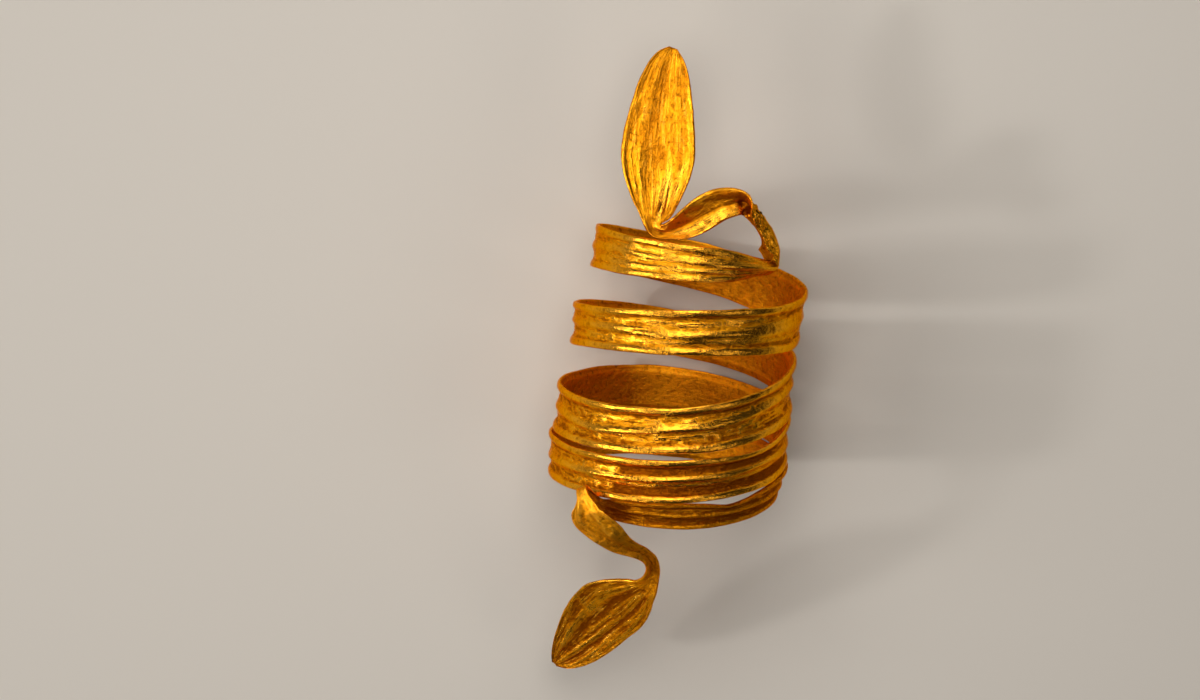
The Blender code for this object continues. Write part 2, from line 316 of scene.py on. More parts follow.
# %% Stack the turns
def coil_heights(widths):
    """Height of the strip's middle at each quarter turn, each turn stacked below the last."""
    heights = [-STRIP_WIDTH * drop for drop in FIRST_TURN_DROP]
    gaps = [STRIP_WIDTH * gap for turn in OPEN_GAPS for gap in turn]
    while len(heights) < len(widths):
        here = len(heights)
        above = here - QUARTERS_PER_TURN
        gap = gaps[min(above - 1, len(gaps) - 1)]
        heights.append(heights[above] - widths[above] / 2 - gap - widths[here] / 2)
    return heights


def surface_level():
    """Height of the table, measured from the coil's axis."""
    return -(BORE_DIAMETER / 2 + SHEET_THICKNESS + RIB_HEIGHT - FLAT_SPOT_DEPTH)


print("table, measured from the coil's axis, mm:", round(surface_level(), 2))


# %% The stations of the coil
def coil_stations():
    """The coiled part of the strip."""
    widths = [STRIP_WIDTH * share for share in WIDTH_SHARE]
    heights = coil_heights(widths)
    steps = round((COIL_END - COIL_START) / COIL_STEP)
    stations = []
    for step in range(steps + 1):
        angle = COIL_START + (COIL_END - COIL_START) * step / steps
        quarter = angle / QUARTER
        turn = math.radians(angle)
        outward = Vector((math.cos(turn), 0.0, math.sin(turn)))
        lean = math.radians(through(LEAN, quarter))
        growth = smooth_step(*GROWTH_SPAN, angle)
        ribs = RIB_SHARE_UPPER + (RIB_SHARE_LOWER - RIB_SHARE_UPPER) * growth
        sheet = UPPER_SHEET_THICKNESS + (SHEET_THICKNESS - UPPER_SHEET_THICKNESS) * growth
        radius = BORE_DIAMETER / 2 * (1 + through(SWELL, quarter)) + sheet / 2
        place = outward * radius + Vector((0.0, through(heights, quarter), 0.0))
        place.z = max(place.z, surface_level() + sheet / 2 + RIB_HEIGHT * ribs - WORN_DEPTH)
        across = Vector((0.0, math.cos(lean), 0.0)) + outward * math.sin(lean)
        closing = 1.0 - smooth_step(COIL_START, COIL_START + OPENING_OUT, angle)
        half = through(widths, quarter) / 2
        half = half + (STEM_WIDTH / 2 * STEM_START_SHARE - half) * closing
        dip = sum(depth * math.exp(-((angle - at) / spread) ** 2) for at, spread, depth in EDGE_DIPS)
        fading = FADE_AT_END * smooth_step(COIL_END - FADING_OUT, COIL_END, angle)
        ribs = ribs * (1.0 - closing) * (1.0 - fading)
        upper = half - STRIP_WIDTH * dip
        station = Station(place, across, upper, half, STEM_FOLD * closing, sheet, ribs)
        station.on = (1.0, angle, 0.0, 0.0)
        stations.append(station)
    return stations


coil = coil_stations()
print("coil stations:", len(coil))

# %% [markdown]
# ## The leaves
#
# A leaf widens quickly from its neck, stays broad, and tapers to a blunt tip. Its outline is one
# short formula. The lower leaf is fuller on one side.

# %% The outline of a leaf
UPPER_LEAF_OUTLINE = (0.42, 0.6, 1.5)
LOWER_LEAF_OUTLINE = (0.36, 0.69, 2.1)
LEAF_TIP_ROUNDING = 12
LEAF_TIP_SHARE = 0.3
LEAF_BOW = 0.5
LEAF_FOLD = 6.0
LEAF_RINGS = 15
RING_CROWDING = 0.5
UPPER_TIP_LEAN = 0.55
TIP_LEAN_POWER = 8
LOWER_LEAF_SKEW = 0.18
SKEW_SPAN = 0.75


def leaf_half_width(along, widest, base, outline):
    """Half width of a leaf, from its base (0) to its blunt tip (1)."""
    widest_at, taper, power = outline
    if along < widest_at:
        return base + (widest - base) * math.sin(math.pi / 2 * along / widest_at)
    t = (along - widest_at) / (1 - widest_at)
    rounding = math.sqrt(max(0.0, 1 - t ** LEAF_TIP_ROUNDING))
    return widest * (1 - taper * t ** power) * max(LEAF_TIP_SHARE, rounding)


def leaf_stations(base, direction, size, outline, bow, which, lean=0.0, skew=0.0):
    """A flat leaf that grows from its base station. Its tip may lean, and one side may be fuller."""
    direction = Vector(direction).normalized()
    across = base.across
    face = across.cross(direction).normalized()
    length, width = size
    stations = []
    for ring in range(1, LEAF_RINGS + 1):
        even = ring / LEAF_RINGS
        along = even + (math.sin(math.pi / 2 * even) - even) * RING_CROWDING
        place = base.place + direction * (length * along) + face * (bow * math.sin(math.pi * along))
        place += across * (lean * along ** TIP_LEAN_POWER)
        fuller = skew * math.sin(math.pi * along / SKEW_SPAN)
        upper = leaf_half_width(along, width / 2, base.shape[0], outline) * (1 - fuller)
        lower = leaf_half_width(along, width / 2, base.shape[1], outline) * (1 + fuller)
        station = Station(place, across, upper, lower, LEAF_FOLD)
        station.on = (0.0, COIL_START if which < 0 else COIL_END, which, along)
        stations.append(station)
    return stations


half_way = leaf_half_width(0.5, 1.0, 0.25, UPPER_LEAF_OUTLINE)
print("a leaf's width half way along:", round(half_way, 3))

# %% [markdown]
# ## The folded stems
#
# Between a leaf and the coil the strip is folded and crumpled by hand, so here the bends are placed
# one by one, each measured from the end of the coil that it hangs on. The curve through them gives
# the soft hairpins of the real sheet.

# %% The two ends of the strip
LEAF_LENGTH = 14.25
LEAF_WIDTH = 6.15
LOWER_LEAF_LENGTH = 14.6
LOWER_LEAF_WIDTH = 6.0
UPPER_LEAF = -1.0
LOWER_LEAF = 1.0
UPPER_LEAF_WAY = (0.0, 1.0, -0.1)
LOWER_LEAF_WAY = (-0.49, -0.65, -0.59)
UPPER_BENDS = (
    ((0.04, 0.18, -0.18), (0.0, 0.5, 0.9), 0.55, 0.75, STEM_FOLD),
    ((0.06, 0.48, -0.33), (0.0, 0.1, 1.0), 0.58, 1.05, STEM_FOLD),
    ((0.02, 0.88, -0.36), (0.0, 0.0, 1.0), 0.76, 1.33, STEM_FOLD),
    ((-0.15, 1.3, -0.3), (0.0, 0.0, 1.0), 0.9, 1.0, STEM_FOLD),
    ((-0.45, 1.85, -0.21), (0.0, 0.05, 1.0), 0.84, 0.9, STEM_FOLD),
    ((-0.94, 2.45, -0.12), (0.05, 0.15, 1.0), 0.84, 0.85, 56),
    ((-1.48, 2.97, -0.03), (0.1, 0.5, 0.85), 0.88, 0.8, 46),
    ((-2.09, 3.15, 0.06), (-0.15, 0.85, 0.4), 0.9, 0.7, 26),
    ((-3.03, 2.82, 0.12), (-0.42, 0.9, 0.0), 0.97, 0.7, 14),
    ((-4.0, 2.24, 0.12), (-0.48, 0.88, 0.0), 1.0, 0.8, 18),
    ((-4.88, 1.7, 0.06), (-0.45, 0.9, 0.0), 0.78, 0.74, 28),
    ((-5.58, 1.36, -0.03), (0.0, 1.0, 0.0), 0.5, 0.43, 28),
    ((-6.06, 1.36, -0.12), (0.7, 0.7, 0.0), 0.5, 0.42, 24),
    ((-6.3, 1.73, -0.21), (1.0, 0.0, 0.0), 0.73, 0.52, 18),
)
LOWER_BENDS = (
    ((-0.73, 0.17, 0.03), (0.0, 1.0, 0.0), 0.35, 0.38, 0),
    ((-1.24, 0.58, 0.21), (0.2, 1.0, 0.1), 0.28, 0.32, 0),
    ((-1.67, 1.03, 0.48), (0.5, 0.5, 0.7), 0.33, 0.33, 0),
    ((-1.58, 0.64, 0.76), (1.0, 0.3, 0.2), 0.33, 0.33, 8),
    ((-1.42, 0.24, 0.85), (1.0, 0.2, 0.2), 0.56, 0.64, 12),
    ((-1.27, -0.21, 0.88), (0.95, 0.35, 0.3), 0.82, 0.85, 10),
    ((-0.82, -0.79, 0.82), (0.8, 0.6, 0.3), 1.02, 0.73, 8),
    ((-0.27, -1.3, 0.7), (0.65, 0.75, 0.25), 1.03, 0.56, 8),
    ((0.33, -1.7, 0.45), (0.5, 0.85, 0.2), 0.8, 0.45, 12),
    ((0.94, -1.94, 0.15), (0.4, 0.9, 0.1), 0.52, 0.38, 18),
    ((1.52, -2.18, -0.21), (0.45, 0.9, 0.1), 0.42, 0.38, 24),
    ((1.94, -2.58, -0.64), (0.8, 0.6, 0.1), 0.4, 0.37, 26),
    ((2.12, -3.12, -1.06), (1.0, 0.1, 0.0), 0.4, 0.37, 24),
    ((2.09, -3.7, -1.42), (0.97, -0.25, 0.0), 0.45, 0.45, 18),
    ((1.88, -4.3, -1.85), (0.78, -0.62, 0.0), 0.7, 0.7, 12),
)


def bend_stations(root, bends, angle):
    """The stations at the bends of one stem."""
    unit = STEM_WIDTH / 2
    stations = []
    for place, across, upper, lower, fold in bends:
        station = Station(root + Vector(place) * unit, across, upper * unit, lower * unit, fold)
        station.on = (0.0, angle, 0.0, 0.0)
        stations.append(station)
    return stations


def upper_terminal(start):
    """The upper leaf, its fold, and the stem down to the start of the coil, in that order."""
    stem = bend_stations(start, UPPER_BENDS, COIL_START)
    size = (LEAF_LENGTH, LEAF_WIDTH)
    leaf = leaf_stations(
        stem[-1], UPPER_LEAF_WAY, size, UPPER_LEAF_OUTLINE, -LEAF_BOW, UPPER_LEAF, lean=UPPER_TIP_LEAN
    )
    return leaf[::-1] + stem[::-1]


def lower_terminal(end):
    """The fold at the coil's lower end, the stem that bends back, and the lower leaf."""
    stem = bend_stations(end, LOWER_BENDS, COIL_END)
    size = (LOWER_LEAF_LENGTH, LOWER_LEAF_WIDTH)
    leaf = leaf_stations(
        stem[-1], LOWER_LEAF_WAY, size, LOWER_LEAF_OUTLINE, LEAF_BOW, LOWER_LEAF, skew=LOWER_LEAF_SKEW
    )
    return stem + leaf


stations = upper_terminal(coil[0].place) + coil + lower_terminal(coil[-1].place)
print("stations in all:", len(stations))

# %% [markdown]
# ## A finer strip
#
# The stations are far apart. The surface needs a ring of points every quarter of a millimetre along
# the coil, and closer on the folded stems and the leaves, where the detail is finer. Whole rows of
# numbers are read on one smooth curve.

# %% Read the strip closely
COIL_SPACING = 0.28
STEM_SPACING = 0.17
LEAF_SPACING = 0.15
READINGS_PER_STATION = 12


def read_rows(rows, positions):
    """Read rows of numbers at places between them, on a smooth curve."""
    last = len(rows) - 1
    low = np.clip(np.floor(positions).astype(int), 0, last - 1)
    before = rows[np.maximum(low - 1, 0)]
    after = rows[np.minimum(low + 2, last)]
    return curve_between(before, rows[low], rows[low + 1], after, (positions - low)[:, None])


def finer_strip(stations):
    """Closely spaced rows along the strip, and how far along it each of them is, in millimetres."""
    rows = np.array([station.row() for station in stations])
    closely = np.linspace(0, len(rows) - 1, READINGS_PER_STATION * len(rows))
    read = read_rows(rows, closely)
    steps = np.linalg.norm(np.diff(read[:, :3], axis=0), axis=1)
    on_coil = read[1:, ON_COIL]
    on_leaf = np.abs(read[1:, WHICH_LEAF])
    off_coil = STEM_SPACING + (LEAF_SPACING - STEM_SPACING) * on_leaf
    spacing = COIL_SPACING * on_coil + off_coil * (1 - on_coil)
    count = np.concatenate([[0.0], np.cumsum(steps / spacing)])
    wanted = np.linspace(0, count[-1], int(count[-1]) + 1)
    positions = np.interp(wanted, count, closely)
    fine = read_rows(rows, positions)
    travelled = np.concatenate([[0.0], np.cumsum(steps)])
    return fine, np.interp(positions, closely, travelled)


strip, travelled = finer_strip(stations)
print("rings of points:", len(strip), "strip length, mm:", round(travelled[-1], 1))

# %% [markdown]
# ## Uneven by hand
#
# Hammered sheet is never even, yet the unevenness has a direction: long folds run along the strip,
# dents are round, wrinkles sit in the grooves. A grid of seeded random heights, read smoothly, gives
# all of these. Stretching how it is read turns dents into folds, and layers of it make a surface.

# %% A smooth uneven field
GRID = 256


def uneven(u, v, seed):
    """Smooth heights between -1 and 1 that change once in each unit of u and of v."""
    heights = np.random.default_rng(seed).uniform(-1.0, 1.0, (GRID, GRID))
    u, v = np.broadcast_arrays(u, v)
    low_u = np.floor(u).astype(int)
    low_v = np.floor(v).astype(int)
    part_u = smooth_step(0.0, 1.0, u - low_u)
    part_v = smooth_step(0.0, 1.0, v - low_v)
    a = heights[low_u % GRID, low_v % GRID]
    b = heights[(low_u + 1) % GRID, low_v % GRID]
    c = heights[low_u % GRID, (low_v + 1) % GRID]
    d = heights[(low_u + 1) % GRID, (low_v + 1) % GRID]
    return (a * (1 - part_u) + b * part_u) * (1 - part_v) + (c * (1 - part_u) + d * part_u) * part_v


def crumpled(u, v, seed):
    """Thin sharp creases between smooth cushions, from 0 in a cushion to 1 on a crease."""
    return (1.0 - np.abs(uneven(u, v, seed))) ** 4


def layered(layers, travel, t, drift=0.0, over=0.0):
    """Layers over each other: the field, share, length along, changes across, drift and seed of each."""
    for field, share, length, changes, drifts, seed in layers:
        over = over + share * field(travel / length, t * changes + drifts * drift, seed)
    return over


print("one reading:", round(float(uneven(np.array(3.4), np.array(1.2), 1)), 3))

# %% [markdown]
# ## The ribbed face
#
# Each turn has two proud rims and a lower middle rib that wanders. Between them the sheet is pressed
# down and left wrinkled. On the first two turns the ribs are faint, and long soft folds take over.
# On the fourth turn the grooves start abruptly, where the smith set the punch.

# %% Ribs, folds and wrinkles of the outer face
RIM_SPAN = (0.56, 0.80)
MIDDLE_RIB_SHARE = 0.85
MIDDLE_RIB_SPREAD = 0.22
MIDDLE_RIB_STEP = 0.13
WANDER = 0.13
WANDER_LENGTH = 34.0
UNEVEN_WANDER = 0.08
UNEVEN_WANDER_LENGTH = 5.0
DRIFT = 0.8
DRIFT_LENGTH = 16.0
EARLY_TURNS_END = (560.0, 800.0)
FOLD_HEIGHT = 0.085
FOLD_LAYERS = ((uneven, 1.0, 6.5, 2.7, 1, 13), (uneven, 0.5, 3.0, 5.5, 2, 14))
FOLDS_ON_LATE_TURNS = 0.35
FOLDS_LOST_ON_RIMS = 0.6
GROOVE_DEPTH = 0.1
WRINKLE_HEIGHT = 0.08
WRINKLE_LAYERS = ((crumpled, 1.0, 1.6, 4.6, 1, 15), (crumpled, 0.6, 0.8, 8.0, 0, 16))
WRINKLES_LOST_EARLY = 0.4
LINE_LAYERS = ((uneven, 0.015, 4.0, 13.0, 3, 17),)
PUNCHED = (
    (1085.0, 1197.0, 0.16, 0.66, 0.11),
    (1070.0, 1200.0, -0.74, -0.24, 0.11),
)
PUNCHED_FADE = 40.0
PUNCHED_STOP = 2.0
PUNCHED_EDGE = 0.1
# How fully the punched grooves calm the wrinkles, and how strongly they are darkened as painted shade.
PUNCHED_SMOOTHING_AND_SHADE = 5.0
DIMPLES = ((333.0, -0.15, 0.05), (322.0, -0.3, 0.05), (309.0, -0.55, -0.06), (301.0, -0.1, -0.06))
DIMPLE_RADIUS = 0.5


def punched_grooves(angle, t):
    """Depth of the grooves that start abruptly, from where to where, and between which edges."""
    depth = np.zeros(np.broadcast(angle, t).shape)
    for start, end, low, high, deep in PUNCHED:
        along = smooth_step(start, start + PUNCHED_FADE, angle)
        along = along * (1 - smooth_step(end - PUNCHED_STOP, end, angle))
        across = smooth_step(low, low + PUNCHED_EDGE, t)
        across = across * (1 - smooth_step(high - PUNCHED_EDGE, high, t))
        depth += deep * along * across
    return depth


def dimples(angle, reach):
    """Depth of the few round dimples of the inner face. Some stand proud instead."""
    depth = np.zeros(np.broadcast(angle, reach).shape)
    for at, across, deep in DIMPLES:
        along_away = np.radians(angle - at) * BORE_DIAMETER / 2
        across_away = reach - across * STRIP_WIDTH / 2
        depth += deep * np.exp(-(along_away ** 2 + across_away ** 2) / DIMPLE_RADIUS ** 2)
    return depth


def coil_relief(travel, angle, ribs, t):
    """Height of the outer face of the coil."""
    wander = WANDER * np.sin(travel / WANDER_LENGTH * 2 * math.pi)
    wander = wander + UNEVEN_WANDER * uneven(travel / UNEVEN_WANDER_LENGTH, 0.0, 11)
    rims = smooth_step(*RIM_SPAN, np.abs(t))
    spread = np.where(t > wander, MIDDLE_RIB_SPREAD, MIDDLE_RIB_STEP)
    middle = np.exp(-((t - wander) / spread) ** 2)
    lifted = np.maximum(rims, MIDDLE_RIB_SHARE * middle)
    early = 1 - smooth_step(*EARLY_TURNS_END, angle)
    drift = DRIFT * uneven(travel / DRIFT_LENGTH, 0.0, 12)
    groove = 1 - lifted
    relief = RIB_HEIGHT * ribs * lifted - GROOVE_DEPTH * ribs * groove
    folded = FOLDS_ON_LATE_TURNS + (1 - FOLDS_ON_LATE_TURNS) * early
    folds = layered(FOLD_LAYERS, travel, t, drift)
    relief = relief + FOLD_HEIGHT * folds * folded * (1 - FOLDS_LOST_ON_RIMS * rims)
    punched = punched_grooves(angle, t)
    wrinkles = layered(WRINKLE_LAYERS, travel, t, drift)
    wrinkles = wrinkles * (1 - np.minimum(1.0, PUNCHED_SMOOTHING_AND_SHADE * punched))
    relief = relief + WRINKLE_HEIGHT * wrinkles * groove * (1 - WRINKLES_LOST_EARLY * early)
    relief = relief + layered(LINE_LAYERS, travel, t, drift)
    return relief - punched


print("rib height, mm:", RIB_HEIGHT)

# %% [markdown]
# ## The veins of the leaves
#
# Each leaf was folded before it was flattened, so ridges and troughs fan out along it. Every one is
# given by where it crosses the base, the middle and the tip, how wide it is and how high. The upper
# leaf has soft troughs, and short folds are pinched into its base. The lower leaf has crisp ridges
# with flat valleys between them, and stronger lines.

# %% Ridges and troughs
RIDGES = {
    UPPER_LEAF: (
        (-0.40, -0.28, 0.15, 0.10, -0.05),
        (-0.80, -0.72, -0.80, 0.09, -0.06),
        (0.55, 0.62, 0.95, 0.08, -0.06),
        (-0.10, 0.15, 0.5, 0.25, 0.05),
        (-0.6, -0.5, -0.4, 0.14, 0.04),
    ),
    LOWER_LEAF: (
        (-0.45, -0.42, -0.43, 0.08, 0.15),
        (-0.2, -0.2, -0.15, 0.13, -0.12),
        (-0.05, 0.0, 0.0, 0.06, 0.06),
        (0.2, 0.23, 0.2, 0.08, 0.15),
        (0.42, 0.42, 0.45, 0.10, -0.15),
        (0.58, 0.58, 0.75, 0.07, 0.12),
        (0.78, 0.78, 0.9, 0.06, 0.08),
        (-0.62, -0.6, -0.62, 0.06, 0.06),
        (-0.75, -0.7, -0.7, 0.12, -0.08),
    ),
}
RIDGE_WANDER = 0.03
RIDGE_WANDER_LENGTH = 2.2
RIDGE_STEADY = 0.65
RIDGE_VARIES_LENGTH = 3.0
RIDGES_APART = 10
PINCHES = {
    UPPER_LEAF: ((0.1, 0.12, 0.08, -0.1), (0.36, 0.3, 0.09, 0.16), (0.6, 0.52, 0.07, -0.14)),
    LOWER_LEAF: (),
}
PINCH_LENGTH = 0.24
LEAF_LINES = {UPPER_LEAF: 1.0, LOWER_LEAF: 1.8}
LEAF_LINE_LAYERS = ((uneven, 0.03, 3.5, 8.0, 0, 23), (crumpled, 0.035, 1.8, 7.0, 0, 24))
LEAF_FINE_LAYERS = ((crumpled, 0.015, 0.8, 5.0, 0, 25), (uneven, 0.014, 1.6, 15.0, 0, 26))
LEAF_DETAIL_FROM = 0.07
LEAF_DETAIL_FADES = 0.88


def leaf_relief(which, along, travel, t):
    """Height of a leaf towards the side that is seen, in millimetres."""
    relief = np.zeros(np.broadcast(along, t).shape)
    for start, end, spread, height in PINCHES[which]:
        at = start + (end - start) * along / PINCH_LENGTH
        relief = relief + height * np.exp(-((t - at) / spread) ** 2 - (along / PINCH_LENGTH) ** 2)
    for base, middle, tip, spread, height in RIDGES[which]:
        first = 1 - along
        at = base * first * (first - along) + middle * 4 * along * first + tip * along * (along - first)
        at = at + RIDGE_WANDER * uneven(travel / RIDGE_WANDER_LENGTH, base * RIDGES_APART, 21)
        varies = uneven(travel / RIDGE_VARIES_LENGTH, middle * RIDGES_APART, 22)
        strength = RIDGE_STEADY + (1 - RIDGE_STEADY) * varies
        relief = relief + height * strength * np.exp(-((t - at) / spread) ** 2)
    lines = layered(LEAF_LINE_LAYERS, travel, t) * LEAF_LINES[which]
    detail = layered(LEAF_FINE_LAYERS, travel, t, over=lines)
    shown = smooth_step(0.0, LEAF_DETAIL_FROM, along) * (1 - smooth_step(LEAF_DETAIL_FADES, 1.0, along))
    return (relief + detail) * shown


print("ridges and troughs:", {name: len(rows) for name, rows in RIDGES.items()})

# %% [markdown]
# ## The stems and the knot
#
# Long soft folds and small marks run along the two stems. At the corner of the upper stem the sheet
# was bent twice and crumpled: worm-like creases are pushed into it there, with two small pits that are
# darkened with painted shade.
# A knot like this could be sculpted, but hills and hollows that are added to the same rings keep the
# strip in one piece.

# %% Folds, marks, the knot and its pits
STEM_FOLD_LAYERS = ((uneven, 0.09, 3.5, 2.6, 0, 51),)
STEM_MARK_HEIGHT = 0.03
STEM_MARK_LAYERS = ((crumpled, 1.0, 1.1, 3.4, 0, 52), (uneven, 1.0, 0.5, 5.0, 0, 53))
KNOT = (-1.35, 2.65, 0.0)
KNOT_RADIUS = 0.9
KNOT_DEPTH = 0.42
WORM_LAYERS = ((crumpled, 1.0, 0.5, 3.0, 0, 41),)
WORM_FLOOR = 0.4
KNOT_PITS = ((-1.97, 3.03, 0.11), (-1.65, 2.74, -0.04))
KNOT_PIT_RADIUS = 0.3
KNOT_PIT_DEPTH = 0.45
# How strongly the pits of the knot are darkened, as painted shade.
KNOT_PIT_SHADE = 2.0


def stem_relief(travel, t):
    """Lengthwise folds and hammer marks of the two stems."""
    return layered(STEM_FOLD_LAYERS, travel, t) + STEM_MARK_HEIGHT * layered(STEM_MARK_LAYERS, travel, t)


def knot_pits(spots):
    """How much of a pit of the knot there is at each spot, from 0 to 1."""
    share = np.zeros(spots.shape[:2])
    for pit in KNOT_PITS:
        centre = np.array(coil[0].place + Vector(pit) * (STEM_WIDTH / 2))
        share += np.exp(-np.sum((spots - centre) ** 2, axis=2) / KNOT_PIT_RADIUS ** 2)
    return share


def knot_relief(places, spots, travel, t):
    """The crumpled knot at the corner of the upper stem, where the sheet was bent twice."""
    centre = np.array(coil[0].place + Vector(KNOT) * (STEM_WIDTH / 2))
    near = np.exp(-(np.linalg.norm(places - centre, axis=1) / KNOT_RADIUS) ** 2)[:, None]
    worms = layered(WORM_LAYERS, travel, t) - WORM_FLOOR
    return KNOT_DEPTH * near * worms + KNOT_PIT_DEPTH * knot_pits(spots)


print("pits of the knot:", len(KNOT_PITS))

# %% [markdown]
# ## The section
#
# At every ring the sheet has an outer and an inner face, joined by a rounded edge. Where the strip is
# creased, each half is turned back by the fold angle, and the crease itself is rounded as bent metal
# is. All rings are worked out together, as arrays.

# %% Places and directions across the strip
OUTER_POINTS = 38
INNER_POINTS = 34
INNER_END = 0.99


def samples(count, end):
    """Places across the strip, closer together towards its edges."""
    even = np.linspace(-1.0, 1.0, count)
    return (0.5 * even + 0.5 * np.sin(even * math.pi / 2)) * end


def directions(places, across):
    """Unit vectors across the strip and out of its outer face."""
    forward = np.gradient(places, axis=0)
    forward /= np.linalg.norm(forward, axis=1)[:, None]
    across = across - forward * np.sum(across * forward, axis=1)[:, None]
    across /= np.linalg.norm(across, axis=1)[:, None]
    return across, np.cross(across, forward)


ACROSS = np.concatenate([samples(OUTER_POINTS, 1.0), samples(INNER_POINTS, INNER_END)[::-1]])
print("points in a ring:", ACROSS.size)

# %% The two faces of the sheet
EDGE_ROUNDING = 0.09
SHEET_FOLLOWS = 0.85
FOLLOWS_SPAN = (0.7, 0.92)
LEAF_RIM_HEIGHT = 0.1
LEAF_RIM_SPAN = (0.88, 0.97)
EDGE_WAVER = 0.03
EDGE_WAVER_LENGTH = 2.6
SMALL_WAVER_SHARE = 0.4
SMALL_WAVER_LENGTH = 0.7
UPPER_EDGE = 3.5
LOWER_EDGE = 7.5
DENT_DEPTH = 0.035
DENT_LENGTH = 2.3
DENT_WIDTH = 2.1
SMALL_DENT_SHARE = 0.5
SMALL_DENT_SIZE = 0.9


def edge_waver(travel, edge):
    """Half width out to a wavering edge, as a share of the even half width."""
    slow = EDGE_WAVER * uneven(travel / EDGE_WAVER_LENGTH, edge, 31)
    return 1 + slow + SMALL_WAVER_SHARE * EDGE_WAVER * uneven(travel / SMALL_WAVER_LENGTH, edge, 32)


def dented(travel, reach):
    """Round dents of two sizes."""
    large = DENT_DEPTH * uneven(travel / DENT_LENGTH, reach / DENT_WIDTH, 33)
    small = uneven(travel / SMALL_DENT_SIZE, reach / SMALL_DENT_SIZE, 34)
    return large + SMALL_DENT_SHARE * DENT_DEPTH * small


def both_leaves(which, along, travel, t):
    """Height of the leaf that a ring is on, and 0 elsewhere."""
    height = np.zeros(np.broadcast(along, t).shape)
    for name in (UPPER_LEAF, LOWER_LEAF):
        height = height + np.clip(which * name, 0.0, 1.0) * leaf_relief(name, along, travel, t)
    return height


def sheet_lift(sheet, ribbed, dents, leaf, leaf_rim, pressed, t):
    """How far the outer or the inner face is out from the middle of the sheet, with rounded edges."""
    edge = np.abs(t)
    follows = SHEET_FOLLOWS * smooth_step(*FOLLOWS_SPAN, edge)
    outer_face = sheet / 2 + ribbed + dents - leaf
    inner_face = -sheet / 2 + follows * ribbed + dents - leaf - leaf_rim + pressed
    past = np.clip(edge - 1 + EDGE_ROUNDING, 0, 1) / EDGE_ROUNDING
    half_sheet = (outer_face - inner_face) / 2 * np.sqrt(np.clip(1 - past ** 2, 0, 1))
    outer = np.arange(t.size)[None, :] < OUTER_POINTS
    return (outer_face + inner_face) / 2 + np.where(outer, half_sheet, -half_sheet)


print("sheet, mm:", UPPER_SHEET_THICKNESS, "to", SHEET_THICKNESS)

# %% From stations to points
CREASE_ROUNDING = 0.04


def creased(places, across, face, reach, lift, fold, sheet):
    """Points of rings whose halves are turned back by the fold angle, round a soft crease."""
    turned = np.radians(fold)
    soft = np.maximum(sheet, LEAF_THICKNESS) / 2 * np.tan(turned) + CREASE_ROUNDING
    length = np.sqrt(reach ** 2 + soft ** 2)
    aside = reach * np.cos(turned) + reach / length * lift * np.sin(turned)
    out = (soft - length) * np.sin(turned) + lift * np.cos(turned)
    points = places[:, None, :] + across[:, None, :] * aside[:, :, None]
    return points + face[:, None, :] * out[:, :, None]


def strip_points(strip, travelled):
    """The rings of points of the whole strip, outer face first."""
    places, across, shape, where = np.split(strip, (3, 6, ON_COIL), axis=1)
    across, face = directions(places, across)
    t = ACROSS[None, :]
    upper, lower, fold, sheet, ribs = (shape[:, index, None] for index in range(5))
    on_coil, angle, which, along = (where[:, index, None] for index in range(4))
    on_coil = np.clip(on_coil, 0.0, 1.0)
    along = np.clip(along, 0.0, 1.0)
    travel = travelled[:, None]
    upper = upper * edge_waver(travel, UPPER_EDGE)
    lower = lower * edge_waver(travel, LOWER_EDGE)
    reach = t * np.where(t > 0, upper, lower)
    spots = places[:, None, :] + across[:, None, :] * reach[:, :, None]

    ribbed = coil_relief(travel, angle, ribs, t) * on_coil
    on_stem = np.clip(1 - np.abs(which), 0.0, 1.0)
    dents = dented(travel, reach) + knot_relief(places, spots, travel, t)
    dents = dents + stem_relief(travel, t) * (1 - on_coil) * on_stem
    leaf = both_leaves(which, along, travel, t)
    leaf_rim = LEAF_RIM_HEIGHT * np.abs(which) * smooth_step(*LEAF_RIM_SPAN, np.abs(t))
    pressed = dimples(angle, reach) * on_coil
    lift = sheet_lift(sheet, ribbed, dents, leaf, leaf_rim, pressed, t)
    points = creased(places, across, face, reach, lift, fold, sheet)
    points[:, :, 2] = np.maximum(points[:, :, 2], surface_level())
    return points


points = strip_points(strip, travelled)
print("points:", points.shape[0] * points.shape[1])

# %% [markdown]
# ## Hollows and ridges
#
# On old gold the hollows keep a brown tone and the ridges are rubbed bright. Here the hollows are also
# darkened as painted shade, and the ridges are paled as a painted highlight. To know which is which,
# each point is compared with the average of the points round it: below the average is a hollow. This is
# done twice, closely for the wrinkles and broadly for the grooves. The material reads the result, so its
# tones of dirt, wear and painted light follow the shape from every side.

# %% Measure the hollows
FINE_ROUNDS = 6
FINE_FULL = 0.018
BROAD_ROUNDS = 60
BROAD_FULL = 0.075


def neighbours_mean(grid):
    """Average of each point's four neighbours along and round the strip."""
    ahead = np.concatenate([grid[1:], grid[-1:]])
    behind = np.concatenate([grid[:1], grid[:-1]])
    return (ahead + behind + np.roll(grid, 1, axis=1) + np.roll(grid, -1, axis=1)) / 4


def surface_normals(points):
    """Outward directions of the closed strip."""
    along = np.gradient(points, axis=0)
    around = np.roll(points, -1, axis=1) - np.roll(points, 1, axis=1)
    normals = np.cross(around, along)
    return normals / np.maximum(np.linalg.norm(normals, axis=2), 1e-9)[:, :, None]


def hollows(points, rounds, full):
    """From -1 on a ridge to 1 in a hollow, against the average after so many rounds of smoothing."""
    smooth = points
    for _ in range(rounds):
        smooth = neighbours_mean(smooth)
    depth = np.sum((smooth - points) * surface_normals(points), axis=2)
    return np.clip(depth / full, -1.0, 1.0)


fine = hollows(points, FINE_ROUNDS, FINE_FULL)
broad = hollows(points, BROAD_ROUNDS, BROAD_FULL)
print("share in fine hollows:", round(float((fine > 0.3).mean()), 3))
